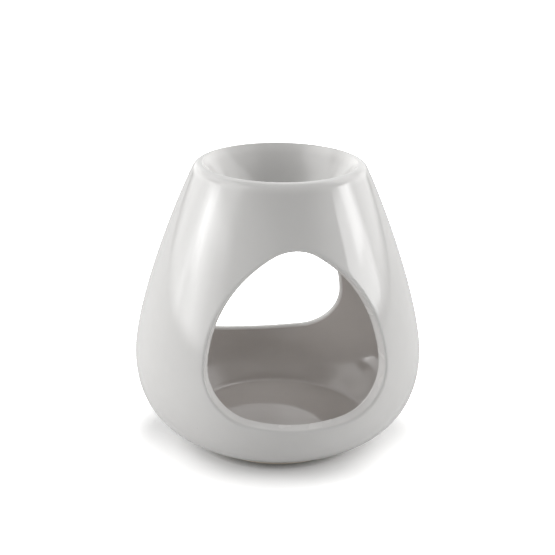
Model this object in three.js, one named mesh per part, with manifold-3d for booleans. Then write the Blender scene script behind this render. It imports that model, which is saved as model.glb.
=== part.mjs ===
// Ceramic oil burner: a pear-shaped body with two opposite windows, an oil dish that
// hangs in its neck, a flat chamber floor for a small candle, and a bare foot ring.
// Millimetres, +Z up. The origin is on the table under the axis; the front window faces -Y.
import * as THREE from 'three';
import { mergeVertices } from 'three/addons/utils/BufferGeometryUtils.js';
import Module from 'manifold-3d';

const wasm = await Module();
wasm.setup();

// Outside form of the body
const totalHeight = 101.4;
const widestRadius = 50;
const widestHeight = 33.4;
const crestRadius = 26.6; // highest ring of the lip
const lipOuterRound = 3.5;
const lipInnerRound = 0.4;
const flankLean = THREE.MathUtils.degToRad(25.7); // lean of the flank where the lip starts
const flankPullLow = 16; // handle lengths: how long each curve keeps its direction
const flankPullHigh = 17.3;
const bellyPullHigh = 19.1;
const bellyPullLow = 14.2;
const bellyRise = THREE.MathUtils.degToRad(13); // slope with which the belly leaves the foot

// Walls and joints of the clay pieces
const wall = 5;
const neckWall = 2.4; // wall at the top of the neck, where it carries the dish
const neckTaper = 17; // height over which the neck thins
const boreHeight = 1; // height over which the inside turns into the bore that takes the dish
const neckDrop = 4.2; // joint of body and dish, below the crest
const jointGap = 0.3;
const jointShare = 1 / 3; // joint of floor and body, over the foot ring: share of its width from outside

// Foot and floor
const footRadius = 24.6;
const footWidth = 3.7;
const footHeight = 2.2;
const footRound = 0.5;
const floorTop = 8.2; // the flat floor that carries the candle
const floorThickness = 5;
const creaseRadius = 31; // ring where the wall leaves the floor
const creaseLift = 0.4; // the glaze on the floor climbs this much towards that ring
const creaseSweep = 1.1; // and bends up over about this length
const creaseRise = THREE.MathUtils.degToRad(21); // to this slope
const creaseSteepness = THREE.MathUtils.degToRad(42); // slope of the wall at that ring
const creasePull = 7;

// Oil dish
const dishDepth = 18; // crest to the inside bottom
const dishWall = 3.8;
const dishNeckWall = 2.2;
const dishWallPull = 10;
const dishWallLean = THREE.MathUtils.degToRad(32); // from upright, at the lip
const dishBottomPull = 11;
const dishRimHeight = 1.3; // straight stretch of the dish in the bore, under its flange

// Windows, cut along Y with a slanting edge
const windowWidth = 59.7;
const windowSill = 23.9;
const windowTop = 81.1;
const windowCornerRadius = 17.1;
const windowTopRadius = 15.4;
const windowSideRadius = 46.2;
const windowSillRadius = 95;
const windowSlant = THREE.MathUtils.degToRad(17.6); // the cut narrows inwards by this angle
const windowLip = 1.2; // rounding of the edge outside
const windowInnerLip = 1.1;
const cutterReach = 1.5; // the cutter starts this many widest radii from the axis

// Fineness of the faceted solids
const turnSegments = 64;
const curveSteps = 11;
const roundSteps = 4;
const arcSteps = 6;
const lipSteps = 3;
const halvings = 30;
const sameSpot = 0.01; // points closer than this are one point
const weldDistance = 0.0001;

// Heights and radii that follow from the sizes above
const underside = floorTop - floorThickness;
const footInner = footRadius - footWidth;
const floorJoint = footRadius - jointShare * footWidth;
const neckTop = totalHeight - neckDrop;
const lipCentreHeight = totalHeight - lipOuterRound;

const point = (r, z) => new THREE.Vector2(r, z);
const along = (start, angle, length) =>
  point(start.x + length * Math.cos(angle), start.y + length * Math.sin(angle));

function curve(start, startHandle, endHandle, end, steps = curveSteps) {
  return new THREE.CubicBezierCurve(start, startHandle, endHandle, end).getPoints(steps);
}

function round(centre, radius, fromAngle, toAngle, steps = roundSteps) {
  const points = [];
  for (let i = 0; i <= steps; i += 1) {
    points.push(along(centre, fromAngle + ((toAngle - fromAngle) * i) / steps, radius));
  }
  return points;
}

// Drops points that repeat the one before them.
function tidy(points) {
  return points.filter((p, i) => i === 0 || p.distanceTo(points[i - 1]) > sameSpot);
}

// The spot where a rising curve passes a height, found by halving.
function pointAtHeight(path, height) {
  let below = 0;
  let above = 1;
  for (let i = 0; i < halvings; i += 1) {
    const middle = (below + above) / 2;
    if (path.getPoint(middle).y < height) {
      below = middle;
    } else {
      above = middle;
    }
  }
  return path.getPoint(below);
}

// Radius of a profile at a height, between its two nearest points.
function radiusAt(profile, height) {
  for (let i = 1; i < profile.length; i += 1) {
    const low = profile[i - 1];
    const high = profile[i];
    if ((low.y - height) * (high.y - height) <= 0 && low.y !== high.y) {
      return THREE.MathUtils.mapLinear(height, low.y, high.y, low.x, high.x);
    }
  }
  return profile[profile.length - 1].x;
}

// Moves each point of a profile sideways by a thickness that may change along it.
function offset(profile, thicknessAt) {
  return profile.map((p, i) => {
    const before = profile[Math.max(i - 1, 0)];
    const after = profile[Math.min(i + 1, profile.length - 1)];
    const direction = point(after.x - before.x, after.y - before.y).normalize();
    const thickness = thicknessAt(p);
    return point(p.x - direction.y * thickness, p.y + direction.x * thickness);
  });
}

// The outside runs from the foot over the belly to the lip.
const widest = point(widestRadius, widestHeight);
const bellyStart = point(footRadius, footHeight);
const bellyPath = new THREE.CubicBezierCurve(
  bellyStart,
  along(bellyStart, bellyRise, bellyPullLow),
  point(widestRadius, widestHeight - bellyPullHigh),
  widest,
);
// One more ring just under the windows keeps the full radius there.
const belly = [
  ...bellyPath.getPoints(curveSteps),
  pointAtHeight(bellyPath, windowSill - windowLip),
].sort((a, b) => a.y - b.y);
const lipStart = along(point(crestRadius, lipCentreHeight), flankLean, lipOuterRound);
const flank = curve(
  widest,
  point(widestRadius, widestHeight + flankPullLow),
  along(lipStart, flankLean - Math.PI / 2, flankPullHigh),
  lipStart,
);
const outside = [...belly, ...flank.slice(1)];
const neckOutside = radiusAt(outside, neckTop);

// The inside of the wall keeps its thickness and thins towards the neck.
function bodyThickness(p) {
  const rise = THREE.MathUtils.smoothstep(p.y, neckTop - neckTaper, neckTop);
  return THREE.MathUtils.lerp(wall, neckWall, rise);
}

function bodyInside() {
  const innerWidest = point(widestRadius - wall, widestHeight);
  const crease = point(creaseRadius, floorTop + creaseLift);
  const lower = [
    point(floorJoint, floorTop),
    ...curve(
      point(creaseRadius - 2 * creaseSweep, floorTop),
      point(creaseRadius - creaseSweep, floorTop),
      along(crease, Math.PI + creaseRise, creaseSweep),
      crease,
      roundSteps,
    ),
  ];
  const turn = curve(
    crease,
    along(crease, creaseSteepness, creasePull),
    point(innerWidest.x, innerWidest.y - bellyPullHigh),
    innerWidest,
  );
  const bore = point(neckOutside - neckWall, neckTop);
  const upper = offset(flank, bodyThickness).filter(
    (p) => p.y > widestHeight && p.y < neckTop - boreHeight,
  );
  return [...lower, ...turn.slice(1), ...upper, bore];
}

const inside = bodyInside();

// A profile turned about the axis. It runs anticlockwise round its section.
function turned(profile) {
  const geometry = new THREE.LatheGeometry(tidy(profile), turnSegments);
  geometry.rotateX(Math.PI / 2);
  return geometry;
}

function toSolid(geometry) {
  const bare = geometry.clone();
  bare.deleteAttribute('normal');
  bare.deleteAttribute('uv');
  const merged = mergeVertices(bare, weldDistance);
  return new wasm.Manifold(
    new wasm.Mesh({
      numProp: 3,
      vertProperties: new Float32Array(merged.attributes.position.array),
      triVerts: new Uint32Array(merged.index.array),
    }),
  );
}

function toGeometry(solid) {
  const mesh = solid.getMesh();
  const geometry = new THREE.BufferGeometry();
  geometry.setAttribute('position', new THREE.BufferAttribute(mesh.vertProperties, 3));
  geometry.setIndex(new THREE.BufferAttribute(mesh.triVerts, 1));
  geometry.computeVertexNormals();
  return geometry;
}

// Centre of the arc of a given radius that holds two smaller circles and touches both.
function enclosingCentre(a, radiusA, b, radiusB, radius) {
  const distance = a.distanceTo(b);
  const reachA = radius - radiusA;
  const reachB = radius - radiusB;
  const foot = (reachA ** 2 - reachB ** 2 + distance ** 2) / (2 * distance);
  const height = Math.sqrt(Math.max(reachA ** 2 - foot ** 2, 0));
  const direction = b.clone().sub(a).divideScalar(distance);
  return point(
    a.x + direction.x * foot + direction.y * height,
    a.y + direction.y * foot - direction.x * height,
  );
}

// Window outline: a triangle of shallow arcs with large round corners, point up.
// Grown outwards by a margin, all its arcs keep their centres.
function windowOutline(margin) {
  const corner = windowCornerRadius + margin;
  const sill = windowSillRadius + margin;
  const side = windowSideRadius + margin;
  const top = windowTopRadius + margin;
  const cornerX = windowWidth / 2 - windowCornerRadius;
  const sillReach = windowSillRadius - windowCornerRadius;
  const sillCentre = point(0, windowSill + windowSillRadius);
  const cornerCentre = point(cornerX, sillCentre.y - Math.sqrt(sillReach ** 2 - cornerX ** 2));
  const topCentre = point(0, windowTop - windowTopRadius);
  const sideCentre = enclosingCentre(
    topCentre,
    windowTopRadius,
    cornerCentre,
    windowCornerRadius,
    windowSideRadius,
  );
  const angleFrom = (centre, target) => Math.atan2(target.y - centre.y, target.x - centre.x);
  const sillEnd = angleFrom(sillCentre, cornerCentre);
  const sideStart = angleFrom(sideCentre, cornerCentre);
  const sideEnd = angleFrom(sideCentre, topCentre);
  const right = tidy([
    ...round(sillCentre, sill, -Math.PI / 2, sillEnd, arcSteps / 2),
    ...round(cornerCentre, corner, sillEnd, sideStart, arcSteps),
    ...round(sideCentre, side, sideStart, sideEnd, arcSteps),
    ...round(topCentre, top, sideEnd, Math.PI / 2, arcSteps),
  ]);
  const left = right
    .slice(1, -1)
    .reverse()
    .map((p) => point(-p.x, p.y));
  return [...right, ...left];
}

// The cutter of one window: rings that follow the curved wall. It is wide outside the
// wall, narrows through it and widens again inside, so both edges come out rounded.
function windowCutter() {
  const outline = windowOutline(0);
  const outwards = windowOutline(1).map((p, i) => p.clone().sub(outline[i]));
  const wallY = (profile, p) => -Math.sqrt(Math.max(radiusAt(profile, p.y) ** 2 - p.x ** 2, 0));
  const grown = (i, margin) => outline[i].clone().addScaledVector(outwards[i], margin);
  const rounding = [];
  for (let i = 0; i <= lipSteps; i += 1) {
    const turn = (Math.PI / 2) * (i / lipSteps);
    rounding.push({ margin: 1 - Math.sin(turn), depth: 1 - Math.cos(turn) });
  }
  // The first facet of a rounding runs on past the wall, so that the cut comes out clean.
  rounding[0] = {
    margin: 2 * rounding[0].margin - rounding[1].margin,
    depth: -rounding[1].depth,
  };
  const innerMargin = outline.map((p) => {
    const start = wallY(outside, p) + windowLip;
    const end = wallY(inside, p) - windowInnerLip;
    return -Math.tan(windowSlant) * Math.max(end - start, 0);
  });
  const outerRing = ({ margin, depth }) =>
    outline.map((_, i) => {
      const p = grown(i, margin * windowLip);
      return [p.x, wallY(outside, p) + depth * windowLip, p.y];
    });
  const innerRing = ({ margin, depth }) =>
    outline.map((_, i) => {
      const p = grown(i, margin * windowInnerLip + innerMargin[i]);
      return [p.x, wallY(inside, p) - depth * windowInnerLip, p.y];
    });
  const moved = (ring, y) => ring.map(([x, , z]) => [x, y, z]);
  const outerRings = rounding.map(outerRing);
  const innerRings = rounding.map(innerRing).reverse();
  const rings = [
    moved(outerRings[0], -cutterReach * widestRadius),
    ...outerRings,
    ...innerRings,
    moved(innerRings[lipSteps], 0),
  ];
  const count = outline.length;
  const last = (rings.length - 1) * count;
  const nearCap = rings.length * count;
  const farCap = nearCap + 1;
  const middle = (windowSill + windowTop) / 2;
  const positions = [...rings.flat(2), 0, rings[0][0][1], middle, 0, 0, middle];
  const index = [];
  for (let i = 0; i < count; i += 1) {
    const next = (i + 1) % count;
    for (let near = 0; near < last; near += count) {
      const far = near + count;
      index.push(near + i, far + i, far + next);
      index.push(near + i, far + next, near + next);
    }
    index.push(nearCap, i, next);
    index.push(farCap, last + next, last + i);
  }
  const geometry = new THREE.BufferGeometry();
  geometry.setAttribute('position', new THREE.Float32BufferAttribute(positions, 3));
  geometry.setIndex(index);
  return toSolid(geometry);
}

// Body: the turned wall, with the same window cut in front and, half a turn on, behind.
function bodyShell() {
  const neckEdge = outside.filter((p) => p.y < neckTop);
  const profile = [
    point(floorJoint, footHeight),
    ...neckEdge,
    point(neckOutside, neckTop),
    ...[...inside].reverse(),
    point(floorJoint, footHeight),
  ];
  const front = windowCutter();
  const rear = front.rotate([0, 0, 180]);
  return toGeometry(toSolid(turned(profile)).subtract(front).subtract(rear));
}

// Oil dish: it holds the whole rolled lip and rests with a flat flange on the neck.
function oilDish() {
  const crest = point(crestRadius, totalHeight);
  const outerLip = round(
    point(crestRadius, lipCentreHeight),
    lipOuterRound,
    flankLean,
    Math.PI / 2,
  );
  const innerCentre = point(crest.x, totalHeight - lipInnerRound);
  const innerLip = round(innerCentre, lipInnerRound, Math.PI / 2, Math.PI - dishWallLean);
  const wallStart = innerLip[innerLip.length - 1];
  const bottom = point(0, totalHeight - dishDepth);
  const bowl = curve(
    wallStart,
    along(wallStart, -Math.PI / 2 - dishWallLean, dishWallPull),
    point(dishBottomPull, bottom.y),
    bottom,
  );
  const rimFoot = neckTop - dishRimHeight;
  const rimOutside = neckOutside - neckWall - jointGap;
  const thicknessAt = (p) =>
    -THREE.MathUtils.lerp(dishWall, dishNeckWall, THREE.MathUtils.smoothstep(p.y, bottom.y, neckTop));
  const bowlOutside = offset([...bowl].reverse(), thicknessAt).filter(
    (p) => p.y < rimFoot && p.x < rimOutside,
  );
  bowlOutside[0].x = 0;
  return turned([
    ...bowlOutside,
    point(rimOutside, rimFoot),
    point(rimOutside, neckTop),
    point(neckOutside, neckTop),
    ...outside.filter((p) => p.y > neckTop && p.y < lipStart.y),
    ...outerLip,
    ...innerLip,
    ...bowl,
  ]);
}

// Chamber floor: a disc that rests on the foot ring, with a recess below inside the ring.
function baseFloor() {
  const edge = floorJoint - jointGap;
  const recess = footInner - jointGap;
  return turned([
    point(0, underside),
    point(recess, underside),
    point(recess, footHeight),
    point(edge, footHeight),
    point(edge, floorTop),
    point(0, floorTop),
  ]);
}

// Foot ring: flat below, where the glaze is wiped off, with its lower edges rounded.
function footRing() {
  const lower = (x, from) => round(point(x, footRound), footRound, from, from + Math.PI / 2);
  return turned([
    ...lower(footInner + footRound, Math.PI),
    ...lower(footRadius - footRound, -Math.PI / 2),
    point(footRadius, footHeight),
    point(footInner, footHeight),
    point(footInner, footRound),
  ]);
}

function glaze(color) {
  return new THREE.MeshStandardMaterial({ color, roughness: 0.15, metalness: 0 });
}

const bareClay = new THREE.MeshStandardMaterial({ color: 0xd9cfbe, roughness: 0.85, metalness: 0 });

function piece(name, geometry, material) {
  const mesh = new THREE.Mesh(geometry, material);
  mesh.name = name;
  return mesh;
}

const burner = new THREE.Group();
burner.add(
  piece('body_shell', bodyShell(), glaze(0xe6e4e0)),
  piece('oil_dish', oilDish(), glaze(0xe4e2de)),
  piece('base_floor', baseFloor(), glaze(0xe0deda)),
  piece('foot_ring', footRing(), bareClay),
);

export default burner;
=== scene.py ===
import bpy
import math
import numpy as np
from mathutils import Matrix, Vector


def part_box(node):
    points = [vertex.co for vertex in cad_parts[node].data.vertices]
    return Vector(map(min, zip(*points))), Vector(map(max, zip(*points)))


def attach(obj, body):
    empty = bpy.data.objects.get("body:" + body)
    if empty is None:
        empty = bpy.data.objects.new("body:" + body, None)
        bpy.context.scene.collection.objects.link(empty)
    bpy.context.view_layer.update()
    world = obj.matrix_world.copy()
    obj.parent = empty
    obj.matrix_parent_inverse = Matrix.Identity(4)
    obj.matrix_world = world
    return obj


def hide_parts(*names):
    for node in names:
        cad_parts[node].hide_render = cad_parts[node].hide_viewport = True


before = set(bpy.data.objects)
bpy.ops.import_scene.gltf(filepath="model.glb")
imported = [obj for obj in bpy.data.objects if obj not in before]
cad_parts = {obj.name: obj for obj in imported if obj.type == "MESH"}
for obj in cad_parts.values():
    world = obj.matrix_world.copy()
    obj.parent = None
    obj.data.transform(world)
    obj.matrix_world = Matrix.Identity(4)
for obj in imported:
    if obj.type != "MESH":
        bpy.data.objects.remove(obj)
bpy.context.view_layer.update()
mm = 0.001


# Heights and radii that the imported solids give
def outerRadius(node):
    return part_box(node)[1].x


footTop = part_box("foot_ring")[1].z
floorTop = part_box("base_floor")[1].z
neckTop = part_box("body_shell")[1].z
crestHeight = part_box("oil_dish")[1].z
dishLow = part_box("oil_dish")[0].z
widestRadius = outerRadius("body_shell")
footRadius = outerRadius("foot_ring")

base = {
    "floorThickness": 5 * mm,
    "footWidth": 3.7 * mm,
    "footRound": 0.6 * mm,
    "footSteps": 5,
    "jointShare": 1 / 3,  # how far in over the foot the body ends and the floor begins
    "jointGap": 0.3 * mm,
    "topSpacing": 2 * mm,  # between the points of the section
    "undersideSpacing": 2.5 * mm,
}
floorJoint = footRadius - base["jointShare"] * base["footWidth"]

body = {
    "widestHeight": 33.4 * mm,
    "crestRadius": 26.6 * mm,
    "lipRound": 3.5 * mm,
    "flankLean": math.radians(25.7),
    "flankPullLow": 16 * mm,
    "flankPullHigh": 17.3 * mm,
    "bellyPullHigh": 19.1 * mm,
    "bellyPullLow": 14.2 * mm,
    "bellyRise": math.radians(13),
    "wall": 5 * mm,
    "neckWall": 2.4 * mm,
    "neckTaper": 17 * mm,
    "boreHeight": 1 * mm,
    "creaseRadius": 31 * mm,
    "creaseLift": 0.4 * mm,
    "creaseSweep": 1.1 * mm,
    "creaseRise": math.radians(21),
    "creaseSteepness": math.radians(42),
    "creasePull": 7 * mm,
    "columnsBelow": 32,  # faces round a quarter of the bottom ring and of each turned piece
    "columnsBeside": 40,
    "rowsWall": 26,
    "rowCrowding": 1.25,  # rows lie closer together towards the window
    "rowsLip": 8,
    "rowsCut": 3,
    "rowsInnerLip": 6,
    "rowsCrease": 8,
    "floorSpacing": 1.5 * mm,
}
sideColumns = 2 * body["columnsBelow"] + body["columnsBeside"]  # on each side of a window's middle

window = {
    "width": 59.7 * mm,
    "sill": 23.9 * mm,
    "top": 81.1 * mm,
    "cornerRadius": 17.1 * mm,
    "topRadius": 15.4 * mm,
    "sideRadius": 46.2 * mm,
    "sillRadius": 95 * mm,
    "slant": math.radians(17.6),  # the cut narrows inwards
    "lip": 1.37 * mm,
    "innerLip": 1.1 * mm,
    "cornerShare": 0.14,  # where, along the outline, the columns leave for the corners of the half body
    "peakShare": 0.37,
    "litEdgeFrom": 0.5,  # share of the rounded edge where the painted edge light and the thinner, rougher glaze start
}

dish = {
    "innerLip": 0.4 * mm,
    "depth": 18 * mm,
    "neckWall": 2.2 * mm,
    "wallPull": 10 * mm,
    "wallLean": math.radians(32),
    "bottomPull": 11 * mm,
    "rimHeight": 1.3 * mm,
    "lipLight": 0.5,  # how far the crest of the lip goes to the painted edge light's colour
    "lipLightFull": 0.8,  # share of the lip's height where it gets there
    "lipSteps": 10,
    "bowlSteps": 120,
    "bowlSpacing": 0.8 * mm,  # between the points of the section
    "flankSpacing": 0.5 * mm,
    "underSpacing": 1.3 * mm,
}


# Curves in the plane of radius and height
def bezier(start, startHandle, endHandle, end, steps):
    points = []
    for i in range(steps + 1):
        t = i / steps
        s = 1 - t
        points.append(
            s ** 3 * Vector(start)
            + 3 * s * s * t * Vector(startHandle)
            + 3 * s * t * t * Vector(endHandle)
            + t ** 3 * Vector(end)
        )
    return points


def arc(centre, radius, fromAngle, toAngle, steps):
    points = []
    for i in range(steps + 1):
        angle = fromAngle + (toAngle - fromAngle) * i / steps
        points.append(Vector(centre) + radius * Vector((math.cos(angle), math.sin(angle))))
    return points


def polar(start, angle, length):
    return Vector(start) + length * Vector((math.cos(angle), math.sin(angle)))


def offsetInwards(profile, thicknessAt):
    moved = []
    for i, p in enumerate(profile):
        before = profile[max(i - 1, 0)]
        after = profile[min(i + 1, len(profile) - 1)]
        direction = (after - before).normalized()
        moved.append(p + thicknessAt(p) * Vector((-direction.y, direction.x)))
    return moved


def smoothStep(value, low, high):
    t = min(max((value - low) / (high - low), 0), 1)
    return t * t * (3 - 2 * t)


class Profile:
    # A dense profile that is read by its share of length, or by height on its rising part
    def __init__(self, points):
        self.r = np.array([p.x for p in points])
        self.z = np.array([p.y for p in points])
        steps = np.hypot(np.diff(self.r), np.diff(self.z))
        self.share = np.concatenate([[0], np.cumsum(steps)])
        self.share /= self.share[-1]

    def at(self, share):
        return float(np.interp(share, self.share, self.r)), float(np.interp(share, self.share, self.z))

    def radiusAt(self, height):
        return float(np.interp(height, self.z, self.r))

    def shareAt(self, height):
        return float(np.interp(height, self.z, self.share))


def resample(points, spacing):
    profile = Profile(points)
    length = float(np.hypot(np.diff(profile.r), np.diff(profile.z)).sum())
    count = max(int(round(length / spacing)), 2)
    return [Vector(profile.at(i / count)) for i in range(count + 1)]


def cutAtHeight(points, height):
    below = [p for p in points if p.y < height]
    a = below[-1]
    b = points[len(below)]
    return below + [a.lerp(b, (height - a.y) / (b.y - a.y))]


curveSteps = 240  # in each curve of the outside and the inside
hair = 0.01 * mm  # points nearer than this to the seam are left out
widest = (widestRadius, body["widestHeight"])
bellyStart = (footRadius, footTop)
belly = bezier(
    bellyStart,
    polar(bellyStart, body["bellyRise"], body["bellyPullLow"]),
    (widestRadius, widest[1] - body["bellyPullHigh"]),
    widest,
    curveSteps,
)
lipStart = polar((body["crestRadius"], crestHeight - body["lipRound"]), body["flankLean"], body["lipRound"])
flank = bezier(
    widest,
    (widestRadius, widest[1] + body["flankPullLow"]),
    polar(lipStart, body["flankLean"] - math.pi / 2, body["flankPullHigh"]),
    lipStart,
    curveSteps,
)
outsideBody = cutAtHeight(belly + flank[1:], neckTop)
outsideBody = [Vector((floorJoint, footTop))] + outsideBody
outsideDish = [outsideBody[-1]] + [p for p in flank if p.y > neckTop + hair]
crease = (body["creaseRadius"], floorTop + body["creaseLift"])


def insideOfBody():
    innerWidest = (widestRadius - body["wall"], widest[1])
    turn = bezier(
        crease,
        polar(crease, body["creaseSteepness"], body["creasePull"]),
        (innerWidest[0], innerWidest[1] - body["bellyPullHigh"]),
        innerWidest,
        curveSteps,
    )

    def thicknessAt(p):
        rise = smoothStep(p.y, neckTop - body["neckTaper"], neckTop)
        return body["wall"] + (body["neckWall"] - body["wall"]) * rise

    bore = Vector((outsideBody[-1].x - body["neckWall"], neckTop))
    boreStart = neckTop - body["boreHeight"]
    upper = [p for p in offsetInwards(flank, thicknessAt) if widest[1] < p.y < boreStart]
    return turn + upper + [bore]


def floorEdge():
    # the body's share of the chamber floor, from its joint with the floor disc to the crease
    sweep = bezier(
        (crease[0] - 2 * body["creaseSweep"], floorTop),
        (crease[0] - body["creaseSweep"], floorTop),
        polar(crease, math.pi + body["creaseRise"], body["creaseSweep"]),
        crease,
        body["rowsCrease"],
    )
    flat = resample([Vector((floorJoint, floorTop)), sweep[0]], body["floorSpacing"])
    return [Vector((floorJoint, footTop))] + flat + sweep[1:]


outside = Profile(outsideBody)
inside = Profile(insideOfBody())
print("profiles ready")


# Window outline: arcs that keep their centres when the outline grows
def enclosingCentre(a, radiusA, b, radiusB, radius):
    reachA = radius - radiusA
    reachB = radius - radiusB
    distance = (b - a).length
    foot = (reachA ** 2 - reachB ** 2 + distance ** 2) / (2 * distance)
    height = math.sqrt(reachA ** 2 - foot ** 2)
    direction = (b - a) / distance
    return a + foot * direction + height * Vector((direction.y, -direction.x))


def windowArcs():
    cornerX = window["width"] / 2 - window["cornerRadius"]
    sillReach = window["sillRadius"] - window["cornerRadius"]
    sill = Vector((0, window["sill"] + window["sillRadius"]))
    corner = Vector((cornerX, sill.y - math.sqrt(sillReach ** 2 - cornerX ** 2)))
    top = Vector((0, window["top"] - window["topRadius"]))
    side = enclosingCentre(top, window["topRadius"], corner, window["cornerRadius"], window["sideRadius"])

    def angle(centre, target):
        return math.atan2(target.y - centre.y, target.x - centre.x)

    turns = [-math.pi / 2, angle(sill, corner), angle(side, corner), angle(side, top), math.pi / 2]
    centres = [sill, corner, side, top]
    radii = [window["sillRadius"], window["cornerRadius"], window["sideRadius"], window["topRadius"]]
    return list(zip(centres, radii, turns[:-1], turns[1:]))


arcsOfHalf = windowArcs()
arcEnds = np.cumsum([radius * (end - start) for _, radius, start, end in arcsOfHalf])


def outlineAt(share):
    # point and outward direction; share runs round the outline from the sill's middle, towards +X first
    left = share > 0.5
    length = (1 - share if left else share) * 2 * arcEnds[-1]
    i = min(int(np.searchsorted(arcEnds, length)), len(arcsOfHalf) - 1)
    centre, radius, start, end = arcsOfHalf[i]
    passed = arcEnds[i - 1] if i else 0
    angle = start + (length - passed) / radius
    outwards = Vector((math.cos(angle), math.sin(angle)))
    spot = centre + radius * outwards
    if left:
        spot.x, outwards.x = -spot.x, -outwards.x
    return spot, outwards


# A flat sheet of faces whose points are then laid one by one
def layGrid(name, columns, rows, place):
    bpy.ops.object.select_all(action="DESELECT")
    bpy.ops.mesh.primitive_grid_add(x_subdivisions=columns, y_subdivisions=rows, size=1)
    piece = bpy.context.object
    piece.name = name
    spots = [(round((v.co.x + 0.5) * columns), round((v.co.y + 0.5) * rows)) for v in piece.data.vertices]
    for v, (column, row) in zip(piece.data.vertices, spots):
        v.co = place(column, row)
    return piece, [row for column, row in spots]


def paint(piece, name, values):
    layer = piece.data.attributes.new(name, "FLOAT", "POINT")
    layer.data.foreach_set("value", values)


def paintEdges(piece, edgeShare, insideShadeShare):
    points = [v.co for v in piece.data.vertices]
    paint(piece, "litThinEdge", [edgeShare(p.z) for p in points])
    paint(piece, "insideShade", [insideShadeShare for p in points])


def selectOnly(piece):
    bpy.ops.object.select_all(action="DESELECT")
    piece.select_set(True)
    bpy.context.view_layer.objects.active = piece


def editPiece(piece):
    selectOnly(piece)
    bpy.ops.object.mode_set(mode="EDIT")
    bpy.ops.mesh.select_all(action="SELECT")


def closeUp(piece, gap=0.001 * mm):
    # points nearer to each other than the gap become one
    editPiece(piece)
    bpy.ops.mesh.remove_doubles(threshold=gap)
    bpy.ops.mesh.normals_make_consistent(inside=False)
    bpy.ops.object.mode_set(mode="OBJECT")


def smooth(piece, sharpFrom=math.radians(40)):
    selectOnly(piece)
    bpy.ops.object.shade_smooth_by_angle(angle=sharpFrom)


# Body: half of it is one sheet, laid from the border of the half over the rounded
# edge of its window and back along the inside. A turned copy makes the other half.
def mirrored(column):
    # the matching column right of the window's middle, and whether this one is left of it
    left = column > sideColumns
    return (2 * sideColumns - column if left else column), left


def borderAt(column):
    # angle from the window's middle and share of the profile, round the border of the half body
    below, beside = body["columnsBelow"], body["columnsBeside"]
    c, left = mirrored(column)
    if c <= below:
        angle, share = math.pi / 2 * c / below, 0
    elif c <= below + beside:
        angle, share = math.pi / 2, (c - below) / beside
    else:
        angle, share = math.pi / 2 * (sideColumns - c) / below, 1
    return (-angle if left else angle), share


def outlineShareAt(column):
    below, beside = body["columnsBelow"], body["columnsBeside"]
    c, left = mirrored(column)
    shares = [0, window["cornerShare"], window["peakShare"], 0.5]
    share = float(np.interp(c, [0, below, below + beside, sideColumns], shares))
    return 1 - share if left else share


def depthAt(profile, x, z):
    return -math.sqrt(max(profile.radiusAt(z) ** 2 - x * x, 0))


def layHalfBody():
    wallRows, lipRows = body["rowsWall"], body["rowsLip"]
    cutRows, innerRows = body["rowsCut"], body["rowsInnerLip"]
    lipEnd = wallRows + lipRows
    innerStart = lipEnd + cutRows
    innerEnd = innerStart + innerRows

    def edgeSpot(column):
        spot, outwards = outlineAt(outlineShareAt(column))
        cutStart = depthAt(outside, *spot) + window["lip"]
        cutEnd = depthAt(inside, *spot) - window["innerLip"]
        return spot, outwards, math.tan(window["slant"]) * max(cutEnd - cutStart, 0)

    edges = [edgeSpot(column) for column in range(2 * sideColumns)]

    def rounded(profile, column, turn):
        spot, outwards, narrowing = edges[column]
        if profile is outside:
            size, depth, shift = window["lip"], 1, 0
        else:
            size, depth, shift = window["innerLip"], -1, narrowing
        x, z = spot + (size * (1 - math.sin(turn)) - shift) * outwards
        return Vector((x, depthAt(profile, x, z) + depth * size * (1 - math.cos(turn)), z))

    def onWall(profile, column, fraction):
        start = rounded(profile, column, 0)
        edge = (math.atan2(start.x, -start.y), profile.shareAt(start.z))
        border = borderAt(column)
        angle = border[0] + (edge[0] - border[0]) * fraction
        radius, height = profile.at(border[1] + (edge[1] - border[1]) * fraction)
        return Vector((radius * math.sin(angle), -radius * math.cos(angle), height))

    def place(column, row):
        column = column % (2 * sideColumns)
        if row < wallRows:
            return onWall(outside, column, 1 - (1 - row / wallRows) ** body["rowCrowding"])
        if row <= lipEnd:
            return rounded(outside, column, math.pi / 2 * (row - wallRows) / lipRows)
        if row < innerStart:
            share = (row - lipEnd) / cutRows
            return rounded(outside, column, math.pi / 2).lerp(rounded(inside, column, math.pi / 2), share)
        if row <= innerEnd:
            return rounded(inside, column, math.pi / 2 * (1 - (row - innerStart) / innerRows))
        return onWall(inside, column, 1 - (row - innerEnd) / wallRows)

    piece, rows = layGrid("glazedBody", 2 * sideColumns, innerEnd + wallRows, place)
    # painted light on the rounded window edge, where the glaze is also thinner and rougher
    litEdgeStart = wallRows + window["litEdgeFrom"] * lipRows
    paint(piece, "litThinEdge", [smoothStep(row, litEdgeStart, lipEnd) * (row < innerEnd) for row in rows])
    # painted shade: the inside of the window's edge and the inner wall get a darker, warmer colour
    paint(piece, "insideShade", [smoothStep(row, lipEnd, innerEnd) for row in rows])
    return piece


def bridgeRing(piece, height, reach=4 * mm):
    # joins the two open rings near this height
    editPiece(piece)
    bpy.ops.mesh.select_mode(type="EDGE")
    bpy.ops.mesh.select_all(action="DESELECT")
    bpy.ops.mesh.select_non_manifold(extend=False, use_wire=False, use_multi_face=False,
                                     use_non_contiguous=False, use_verts=False)
    bpy.ops.object.mode_set(mode="OBJECT")
    points = piece.data.vertices
    for edge in piece.data.edges:
        middle = (points[edge.vertices[0]].co.z + points[edge.vertices[1]].co.z) / 2
        if abs(middle - height) > reach:
            edge.select = False
    bpy.ops.object.mode_set(mode="EDIT")
    bpy.ops.mesh.bridge_edge_loops()
    bpy.ops.mesh.select_mode(type="VERT")
    bpy.ops.object.mode_set(mode="OBJECT")


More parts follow.
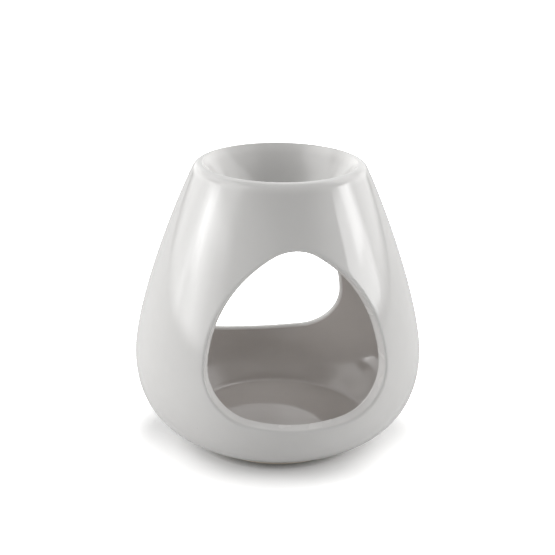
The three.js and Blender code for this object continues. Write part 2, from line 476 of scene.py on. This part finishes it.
def makeBody():
    piece = layHalfBody()
    selectOnly(piece)
    bpy.ops.object.duplicate()
    rear = bpy.context.object
    for v in rear.data.vertices:
        v.co = Vector((-v.co.x, -v.co.y, v.co.z))
    edge = spinSection("floorEdge", floorEdge(), closed=False)
    # painted shade on the body's share of the chamber floor
    paintEdges(edge, lambda height: 0.0, 1.0)
    for part in (piece, rear, edge):
        part.select_set(True)
    bpy.context.view_layer.objects.active = piece
    bpy.ops.object.join()
    closeUp(piece, 0.005 * mm)
    bridgeRing(piece, neckTop)
    closeUp(piece)
    smooth(piece)
    return piece


# Turned pieces: the section is laid on a ring of points and spun round the axis
def spinSection(name, section, closed):
    bpy.ops.object.select_all(action="DESELECT")
    bpy.ops.mesh.primitive_circle_add(vertices=len(section), radius=1)
    piece = bpy.context.object
    piece.name = name
    for v, p in zip(piece.data.vertices, section):
        v.co = Vector((p.x, 0, p.y))
    editPiece(piece)
    if not closed:
        bpy.ops.mesh.select_mode(type="EDGE")
        bpy.ops.mesh.select_all(action="DESELECT")
        bpy.ops.object.mode_set(mode="OBJECT")
        last = len(section) - 1
        for edge in piece.data.edges:
            edge.select = set(edge.vertices) == {0, last}
        bpy.ops.object.mode_set(mode="EDIT")
        bpy.ops.mesh.delete(type="EDGE")
        bpy.ops.mesh.select_mode(type="VERT")
        bpy.ops.mesh.select_all(action="SELECT")
    bpy.ops.mesh.spin(
        steps=4 * body["columnsBelow"],
        angle=2 * math.pi,
        center=(0, 0, 0),
        axis=(0, 0, 1),
        use_auto_merge=True,
    )
    bpy.ops.object.mode_set(mode="OBJECT")
    closeUp(piece)
    smooth(piece)
    return piece


def makeDish():
    outerCentre = (body["crestRadius"], crestHeight - body["lipRound"])
    outerLip = arc(outerCentre, body["lipRound"], body["flankLean"], math.pi / 2, dish["lipSteps"])
    innerCentre = (body["crestRadius"], crestHeight - dish["innerLip"])
    innerTurn = math.pi - dish["wallLean"]
    innerLip = arc(innerCentre, dish["innerLip"], math.pi / 2, innerTurn, dish["lipSteps"])
    low = crestHeight - dish["depth"]
    bowl = bezier(
        innerLip[-1],
        polar(innerLip[-1], -math.pi / 2 - dish["wallLean"], dish["wallPull"]),
        (dish["bottomPull"], low),
        (0, low),
        dish["bowlSteps"],
    )
    wall = low - dishLow

    def thicknessAt(p):
        return -(wall + (dish["neckWall"] - wall) * smoothStep(p.y, low, neckTop))

    rim = outsideBody[-1].x - body["neckWall"] - base["jointGap"]
    under = [
        p
        for p in offsetInwards(bowl[::-1], thicknessAt)
        if p.y < neckTop - dish["rimHeight"] and p.x < rim
    ]
    under[0].x = 0
    section = (
        resample(under, dish["underSpacing"])
        + [Vector((rim, neckTop - dish["rimHeight"])), Vector((rim, neckTop))]
        + resample(outsideDish, dish["flankSpacing"])[:-1]
        + outerLip
        + innerLip[1:]
        + resample(bowl, dish["bowlSpacing"])[1:]
    )
    return spinSection("glazedDish", section, closed=False)


def makeFloor():
    recess = footRadius - base["footWidth"] - base["jointGap"]
    underside = floorTop - base["floorThickness"]
    section = (
        resample([Vector((0, underside)), Vector((recess, underside))], base["undersideSpacing"])
        + [Vector((recess, footTop)), Vector((floorJoint, footTop))]
        + resample([Vector((floorJoint, floorTop)), Vector((0, floorTop))], base["topSpacing"])
    )
    return spinSection("glazedFloor", section, closed=False)


def makeFoot():
    inner = footRadius - base["footWidth"]
    size, steps = base["footRound"], base["footSteps"]
    section = (
        arc((inner + size, size), size, math.pi, 1.5 * math.pi, steps)
        + arc((footRadius - size, size), size, -math.pi / 2, 0, steps)
        + [Vector((footRadius, footTop)), Vector((inner, footTop))]
    )
    return spinSection("bareFoot", section, closed=True)


glazedBody = makeBody()
print("body laid")
glazedDish = makeDish()
glazedFloor = makeFloor()
bareFoot = makeFoot()
print("turned pieces spun")


def lipLightAndThinGlaze(height):
    # the rolled lip carries thinner, rougher glaze and painted edge light
    start = crestHeight - body["lipRound"]
    return dish["lipLight"] * smoothStep(height, start, start + dish["lipLightFull"] * body["lipRound"])


# painted light on the dish's lip, where the glaze is also rougher
paintEdges(glazedDish, lipLightAndThinGlaze, 0.0)
# painted shade on the chamber floor
paintEdges(glazedFloor, lambda height: 0.0, 1.0)


# Node helper: inputs are given by name or number, as values or as sockets to link
def put(tree, kind, inputs=None, **settings):
    node = tree.nodes.new(kind if kind.startswith("NodeGroup") else "ShaderNode" + kind)
    for name, value in settings.items():
        setattr(node, name, value)
    for name, value in (inputs or {}).items():
        if isinstance(value, bpy.types.NodeSocket):
            tree.links.new(value, node.inputs[name])
        else:
            node.inputs[name].default_value = value
    return node


def newGroup(name, inputs, outputs):
    group = bpy.data.node_groups.new(name, "ShaderNodeTree")
    for label, kind in inputs.items():
        group.interface.new_socket(name=label, in_out="INPUT", socket_type="NodeSocket" + kind)
    for label, kind in outputs.items():
        group.interface.new_socket(name=label, in_out="OUTPUT", socket_type="NodeSocket" + kind)
    return group, put(group, "NodeGroupInput").outputs


def calculate(tree, operation, a, b=0.0, c=0.0):
    return put(tree, "Math", {0: a, 1: b, 2: c}, operation=operation).outputs[0]


def blendColors(tree, share, a, b):
    return put(tree, "Mix", {0: share, 6: a, 7: b}, data_type="RGBA").outputs[2]


def noiseAround(tree, vector, scale, detail, low, high):
    # noise, most of which lies between 0.3 and 0.7, spread from low to high
    noise = put(tree, "TexNoise", {"Vector": vector, "Scale": scale, "Detail": detail}).outputs["Fac"]
    spread = {"Value": noise, "From Min": 0.3, "From Max": 0.7, "To Min": low, "To Max": high}
    return put(tree, "MapRange", spread).outputs[0]


# Fired glaze: cloudy tone, painted light on the edges, where the glaze is also thinner and rougher,
# painted warm shade on the inner side, soft waves and fine pitting
glaze = {
    "color": (0.715, 0.708, 0.694, 1),
    # painted light: window and lip edges are lightened towards this colour
    "edgeLightColor": (0.93, 0.92, 0.905, 1),
    # painted shade: the chamber's inside is darker and warmer, as its bounced light would make it
    "insideShadeColor": (0.7, 0.668, 0.645, 1),
    "roughness": 0.06,
    "wave": 0.05 * mm,
    "dishWave": 0.025 * mm,
    "peel": 0.0015 * mm,
    "ior": 1.5,
    "cloud": (28, 2, 0.985, 1.01),  # each noise: scale, detail, lowest and highest value
    "mottle": (260, 3, 0.994, 1.006),
    "edgeLightPatches": (60, 1, 0.65, 0.9),
    "sheenPatches": (70, 2, -0.02, 0.025),
    "waveShape": (42, 1, -0.5, 0.5),
    "peelShape": (750, 1, -0.5, 0.5),
    "thinSheen": 0.2,  # thin glaze is that much rougher
    "pitScale": 95.0,
    "pitCore": 0.018,  # radius of a pit, in cells
    "pitEdge": 0.032,
    "pitRarity": 0.86,
    "pitTone": -0.12,
    "pitDepth": 0.006 * mm,
}


def makeGlazeGroup():
    inputs = {
        "Vector": "Vector",
        "Color": "Color",
        "Edge Light Color": "Color",
        "Inside Shade Color": "Color",
        "Lit Thin Edge": "Float",
        "Inside Shade": "Float",
        "Roughness": "Float",
        "Wave": "Float",
        "Peel": "Float",
    }
    outputs = {"Color": "Color", "Roughness": "Float", "Height": "Float"}
    group, given = newGroup("firedGlaze", inputs, outputs)
    vector = given["Vector"]
    # painted warm shade on the inner side
    insideShaded = blendColors(group, given["Inside Shade"], given["Color"], given["Inside Shade Color"])
    # painted light on the edges, in patches
    patchy = noiseAround(group, vector, *glaze["edgeLightPatches"])
    edgeLight = calculate(group, "MULTIPLY", given["Lit Thin Edge"], patchy)
    edgeLit = blendColors(group, edgeLight, insideShaded, given["Edge Light Color"])
    cloud = noiseAround(group, vector, *glaze["cloud"])
    mottle = noiseAround(group, vector, *glaze["mottle"])
    cells = put(group, "TexVoronoi", {"Vector": vector, "Scale": glaze["pitScale"]})
    falling = {
        "Value": cells.outputs["Distance"],
        "From Min": glaze["pitCore"],
        "From Max": glaze["pitEdge"],
        "To Min": 1.0,
        "To Max": 0.0,
    }
    dot = put(group, "MapRange", falling).outputs[0]
    chance = put(group, "SeparateColor", {0: cells.outputs["Color"]}).outputs[0]
    rare = calculate(group, "GREATER_THAN", chance, glaze["pitRarity"])
    speck = calculate(group, "MULTIPLY", dot, rare)
    tone = calculate(group, "MULTIPLY", calculate(group, "MULTIPLY", cloud, mottle),
                     calculate(group, "MULTIPLY_ADD", speck, glaze["pitTone"], 1.0))
    shaded = put(group, "VectorMath", {0: edgeLit, 3: tone}, operation="SCALE").outputs[0]
    uneven = noiseAround(group, vector, *glaze["sheenPatches"])
    duller = calculate(group, "MULTIPLY_ADD", given["Lit Thin Edge"], glaze["thinSheen"], uneven)
    rough = calculate(group, "ADD", given["Roughness"], duller)
    wave = calculate(group, "MULTIPLY", noiseAround(group, vector, *glaze["waveShape"]), given["Wave"])
    peel = calculate(group, "MULTIPLY", noiseAround(group, vector, *glaze["peelShape"]), given["Peel"])
    pit = calculate(group, "MULTIPLY", speck, -glaze["pitDepth"])
    height = calculate(group, "ADD", calculate(group, "ADD", wave, peel), pit)
    put(group, "NodeGroupOutput", {"Color": shaded, "Roughness": rough, "Height": height})
    return group


def shaderOf(material):
    material.use_nodes = True
    return material.node_tree, material.node_tree.nodes["Principled BSDF"]


def makeGlaze(name, group, color, insideShadeColor, wave):
    material = bpy.data.materials.new(name)
    tree, shader = shaderOf(material)
    place = put(tree, "TexCoord").outputs["Object"]
    # mask of the painted edge light and the rougher thin glaze
    litThinEdge = put(tree, "Attribute", attribute_name="litThinEdge").outputs["Fac"]
    # mask of the painted inside shade
    insideShade = put(tree, "Attribute", attribute_name="insideShade").outputs["Fac"]
    inputs = {
        "Vector": place,
        "Color": color,
        "Edge Light Color": glaze["edgeLightColor"],
        "Inside Shade Color": insideShadeColor,
        "Lit Thin Edge": litThinEdge,
        "Inside Shade": insideShade,
        "Roughness": glaze["roughness"],
        "Wave": wave,
        "Peel": glaze["peel"],
    }
    fired = put(tree, "Group", inputs, node_tree=group)
    bump = put(tree, "Bump", {"Height": fired.outputs["Height"], "Strength": 1.0, "Distance": 1.0})
    tree.links.new(fired.outputs["Color"], shader.inputs["Base Color"])
    tree.links.new(fired.outputs["Roughness"], shader.inputs["Roughness"])
    tree.links.new(bump.outputs[0], shader.inputs["Normal"])
    shader.inputs["IOR"].default_value = glaze["ior"]
    return material


clay = {
    "color": (0.7, 0.64, 0.56, 1),
    "grainColor": (0.56, 0.5, 0.43, 1),
    "grit": 0.03 * mm,
    "grain": (1400, 4, 0.0, 1.0),
    "grainShare": 0.35,
    "cloud": (120, 2, 0.0, 0.35),
    "sheenPatches": (400, 2, 0.75, 0.92),
}


def makeClay():
    material = bpy.data.materials.new("wipedClay")
    tree, shader = shaderOf(material)
    place = put(tree, "TexCoord").outputs["Object"]
    grain = noiseAround(tree, place, *clay["grain"])
    cloud = noiseAround(tree, place, *clay["cloud"])
    share = calculate(tree, "MULTIPLY_ADD", grain, clay["grainShare"], cloud)
    tree.links.new(blendColors(tree, share, clay["color"], clay["grainColor"]), shader.inputs["Base Color"])
    tree.links.new(noiseAround(tree, place, *clay["sheenPatches"]), shader.inputs["Roughness"])
    grit = calculate(tree, "MULTIPLY", grain, clay["grit"])
    bump = put(tree, "Bump", {"Height": grit, "Strength": 1.0, "Distance": 1.0})
    tree.links.new(bump.outputs[0], shader.inputs["Normal"])
    return material


firedGlaze = makeGlazeGroup()
# the body's inside and the chamber floor get the painted inside shade; the dish does not
bodyGlaze = makeGlaze("bodyGlaze", firedGlaze, glaze["color"], glaze["insideShadeColor"], glaze["wave"])
dishGlaze = makeGlaze("dishGlaze", firedGlaze, glaze["color"], glaze["color"], glaze["dishWave"])
floorGlaze = makeGlaze("floorGlaze", firedGlaze, glaze["color"], glaze["insideShadeColor"], glaze["wave"])
for piece, node, slot, material in (
    (glazedBody, "body_shell", "body_glaze", bodyGlaze),
    (glazedDish, "oil_dish", "dish_glaze", dishGlaze),
    (glazedFloor, "base_floor", "floor_glaze", floorGlaze),
    (bareFoot, "foot_ring", "bare_clay", makeClay()),
):
    piece.data.materials.append(material)
    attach(piece, "root")
    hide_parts(node)
print("glazed")


# Camera: the place, turn and lens that fit the outline in the photograph
shot = {
    "distance": 500 * mm,
    "aim": 45 * mm,
    "elevation": math.radians(20.78),
    "pitch": math.radians(-1.61),
    "pan": math.radians(-0.05),
    "roll": math.radians(0.76),
    "turn": math.radians(8.9),
    "pixelsPerMillimetre": 2.8479,
    "imageWidth": 555,
    "sensor": 36,
    "clipStart": 10 * mm,
}


def inPartFrame(vector):
    # from a frame that faces the camera to the part's own frame
    return Matrix.Rotation(-shot["turn"], 3, "Z") @ Vector(vector)


def placeCamera():
    e = shot["elevation"]
    place = Vector((0, -shot["distance"] * math.cos(e), shot["distance"] * math.sin(e) + shot["aim"]))
    tilt, pan = e + shot["pitch"], shot["pan"]
    level = math.cos(tilt)
    forward = Vector((math.sin(pan) * level, math.cos(pan) * level, -math.sin(tilt))).normalized()
    right = forward.cross(Vector((0, 0, 1))).normalized()
    up = right.cross(forward)
    c, s = math.cos(shot["roll"]), math.sin(shot["roll"])
    right, up = c * right + s * up, c * up - s * right
    axes = [inPartFrame(v) for v in (right, up, -forward)]
    data = bpy.data.cameras.new("camera")
    data.sensor_width = shot["sensor"]
    focal = shot["pixelsPerMillimetre"] * shot["distance"] / mm
    data.lens = shot["sensor"] * focal / shot["imageWidth"]
    data.clip_start = shot["clipStart"]
    camera = bpy.data.objects.new("camera", data)
    bpy.context.scene.collection.objects.link(camera)
    spot = inPartFrame(place)
    rows = [[axes[j][i] for j in range(3)] + [spot[i]] for i in range(3)] + [[0, 0, 0, 1]]
    camera.matrix_world = Matrix(rows)
    bpy.context.scene.camera = camera


placeCamera()
print("camera placed")


# Studio: pale floor and a ring of soft panels round the burner. A panel has an azimuth from
# the camera, + to its right, and a height, each as four angles in degrees between which it
# comes up and goes down again, and a strength.
studio = {
    "floorSize": 4.0,
    "floorColor": 0.8,
    "floorGain": 2.39,  # seen by the camera, the floor is bright away from the burner
    "floorContrast": 0.38,  # and its tone carries a painted shadow where the burner shuts off light
    "shutReach": 60 * mm,
    "floorNear": -29 * mm,  # painted shade: the floor behind the burner has more light and its tone is lowered
    "floorFar": 12 * mm,
    "farShare": 0.54,
    "contactReach": 4.5 * mm,  # a painted contact shadow, darkest close to the foot
    "contactShade": 0.35,
    "contactOpen": (0.05, 0.6),  # share left open at the darkest and at the end of it
    "openGain": 1.5,  # and white where the burner shuts off little
    "openFrom": (0.51, 0.84),  # share left open where that starts and where it is full
    "sideGain": 0.157,  # painted light: the tone is lighter towards the right
    "sideReach": 60 * mm,
    "panels": {
        "left121": ((-130, -121, -121, -112), (-3, 3, 16, 25), 2.32),
        "left112": ((-121, -112, -112, -104), (-3, 3, 16, 25), 2.47),
        "left104": ((-112, -104, -104, -97), (-3, 3, 16, 25), 3.3),
        "low97": ((-104, -97, -97, -91), (-3, 3, 6, 14), 5.05),
        "left97": ((-104, -97, -97, -91), (6, 14, 16, 25), 6.5),
        "low91": ((-97, -91, -91, -85), (-3, 3, 6, 14), 4.27),
        "left91": ((-97, -91, -91, -85), (6, 14, 16, 25), 11.2),
        "low85": ((-91, -85, -85, -79), (-3, 3, 6, 14), 5.36),
        "left85": ((-91, -85, -85, -79), (6, 14, 16, 25), 10.61),
        "low79": ((-85, -79, -79, -72), (-3, 3, 6, 14), 6.28),
        "left79": ((-85, -79, -79, -72), (6, 14, 16, 25), 6.9),
        "left72": ((-79, -72, -72, -62), (-3, 3, 16, 25), 4.84),
        "left62": ((-72, -62, -62, -45), (-3, 3, 16, 25), 2.42),
        "leftShoulder": ((-93, -84, -66, -42), (14, 21, 27, 35), 2.58),
        "leftRear": ((-170, -150, -130, -121), (-2, 4, 22, 32), 1.92),
        "rightMain": ((68.5, 71, 100, 106), (0, 4, 20, 28), 6.44),
        "rightCore": ((80, 88, 94, 102), (9, 12, 20, 28), 4.07),
        "rightGap": ((101, 105, 124, 127), (-2, 4, 22, 32), 2.68),
        "rightRear": ((124, 127, 142, 162), (-2, 4, 22, 32), 2.31),
        "rightFront": ((30, 60, 68, 70), (0, 6, 24, 34), 1.26),
        "backLeft": ((-181, -180, -160, -150), (-2, 4, 22, 32), 1.21),
        "backRight": ((150, 160, 180, 181), (-2, 4, 22, 32), 1.65),
        "highLeft": ((-97, -90, -60, -40), (26, 34, 50, 65), 2.58),
        "highSideLeft": ((-127, -122, -97, -90), (33, 40, 50, 65), 2.16),
        "midSideLeft": ((-127, -123, -115, -108), (20, 26, 33, 40), 1.13),
        "highRearLeft": ((-181, -180, -127, -122), (26, 34, 50, 65), 1.49),
        "highRight": ((40, 60, 98, 104), (26, 34, 50, 65), 0.46),
        "highSideRight": ((98, 104, 124, 128), (24, 32, 50, 65), 2.16),
        "highRearRight": ((124, 128, 180, 181), (26, 34, 50, 65), 2.19),
        "frontLeft": ((-60, -30, -10, 10), (0, 6, 24, 34), 0.68),
        "frontRight": ((-10, 10, 30, 60), (0, 6, 24, 34), 0.37),
        "top": ((-182, -181, 181, 182), (50, 65, 91, 92), 0.05),
    },
}


def emptyTree(owner):
    owner.use_nodes = True
    owner.node_tree.nodes.clear()
    return owner.node_tree


def makeFloorPlane():
    bpy.ops.object.select_all(action="DESELECT")
    bpy.ops.mesh.primitive_plane_add(size=studio["floorSize"], location=(0, 0, 0))
    plane = bpy.context.object
    plane.name = "studioFloor"
    material = bpy.data.materials.new("studioFloor")
    tree = emptyTree(material)
    lit = put(tree, "BsdfDiffuse", {"Color": (studio["floorColor"],) * 3 + (1,)})
    openShare = put(tree, "AmbientOcclusion", {"Distance": studio["shutReach"]}).outputs["AO"]
    place = put(tree, "TexCoord").outputs["Object"]
    turned = put(tree, "Mapping", {"Vector": place, "Rotation": (0, 0, shot["turn"])}).outputs[0]
    turnedAxes = put(tree, "SeparateXYZ", {0: turned}).outputs
    away = {
        "Value": turnedAxes["Y"],
        "From Min": studio["floorNear"],
        "From Max": studio["floorFar"],
        "To Min": studio["floorGain"],
        "To Max": studio["floorGain"] * studio["farShare"],
    }
    depth = put(tree, "MapRange", away, interpolation_type="SMOOTHSTEP").outputs[0]
    # painted shadow seen by the camera: the tone darkens by how much the burner shuts off, most at the foot
    shadow = calculate(tree, "MULTIPLY", depth, calculate(tree, "POWER", openShare, studio["floorContrast"]))
    nearShare = put(tree, "AmbientOcclusion", {"Distance": studio["contactReach"]}).outputs["AO"]
    low, high = studio["contactOpen"]
    closing = {"Value": nearShare, "From Min": low, "From Max": high, "To Min": studio["contactShade"]}
    contact = put(tree, "MapRange", closing, interpolation_type="SMOOTHSTEP").outputs[0]
    shadow = calculate(tree, "MULTIPLY", shadow, contact)
    low, high = studio["openFrom"]
    rising = {"Value": openShare, "From Min": low, "From Max": high, "To Max": studio["openGain"]}
    lift = put(tree, "MapRange", rising, interpolation_type="SMOOTHSTEP").outputs[0]
    reach, gain = studio["sideReach"], studio["sideGain"]
    across = {"Value": turnedAxes["X"], "From Min": -reach, "From Max": reach,
              "To Min": 1 - gain, "To Max": 1 + gain}
    side = put(tree, "MapRange", across).outputs[0]
    # painted light: lighter away from the burner, lowered behind it and lighter towards the right
    tone = calculate(tree, "MULTIPLY", calculate(tree, "ADD", shadow, lift), side)
    bright = put(tree, "BsdfDiffuse", {"Color": tone})
    seen = put(tree, "LightPath").outputs["Is Camera Ray"]
    mix = put(tree, "MixShader", {0: seen, 1: lit.outputs[0], 2: bright.outputs[0]})
    put(tree, "OutputMaterial", {"Surface": mix.outputs[0]})
    plane.data.materials.append(material)


def makePanelGroup():
    inputs = {"Azimuth": "Float", "Elevation": "Float", "Strength": "Float"}
    edges = ("Azimuth Up", "Azimuth Full", "Azimuth Ebb", "Azimuth Down",
             "Elevation Up", "Elevation Full", "Elevation Ebb", "Elevation Down")
    inputs.update({label: "Float" for label in edges})
    group, given = newGroup("softPanel", inputs, {"Light": "Float"})
    light = given["Strength"]
    for angle in ("Azimuth", "Elevation"):
        for low, high, start, end in (("Up", "Full", 0.0, 1.0), ("Ebb", "Down", 1.0, 0.0)):
            slope = {
                "Value": given[angle],
                "From Min": given[f"{angle} {low}"],
                "From Max": given[f"{angle} {high}"],
                "To Min": start,
                "To Max": end,
            }
            edge = put(group, "MapRange", slope, interpolation_type="SMOOTHSTEP").outputs[0]
            light = calculate(group, "MULTIPLY", light, edge)
    put(group, "NodeGroupOutput", {"Light": light})
    return group, edges


def makeWorld():
    world = bpy.data.worlds.new("surroundings")
    bpy.context.scene.world = world
    tree = emptyTree(world)
    group, edges = makePanelGroup()
    direction = put(tree, "TexCoord").outputs["Generated"]
    turned = put(tree, "Mapping", {"Vector": direction, "Rotation": (0, 0, shot["turn"])})
    axes = put(tree, "SeparateXYZ", {0: turned.outputs[0]}).outputs
    towards = calculate(tree, "MULTIPLY", axes["Y"], -1.0)
    azimuth = calculate(tree, "DEGREES", calculate(tree, "ARCTAN2", axes["X"], towards))
    elevation = calculate(tree, "DEGREES", calculate(tree, "ARCSINE", axes["Z"]))
    light = 0.0
    for name, (across, upwards, strength) in studio["panels"].items():
        inputs = {"Azimuth": azimuth, "Elevation": elevation, "Strength": strength}
        inputs.update(zip(edges, across + upwards))
        panel = put(tree, "Group", inputs, node_tree=group, label=name)
        light = calculate(tree, "ADD", light, panel.outputs[0])
    lit = put(tree, "Background", {"Strength": light})
    white = put(tree, "Background", {"Color": (1, 1, 1, 1), "Strength": 1.0})
    seen = put(tree, "LightPath").outputs["Is Camera Ray"]
    mix = put(tree, "MixShader", {0: seen, 1: lit.outputs[0], 2: white.outputs[0]})
    put(tree, "OutputWorld", {"Surface": mix.outputs[0]})


makeFloorPlane()
makeWorld()
bpy.context.scene.view_settings.view_transform = "Standard"
print("studio lit")
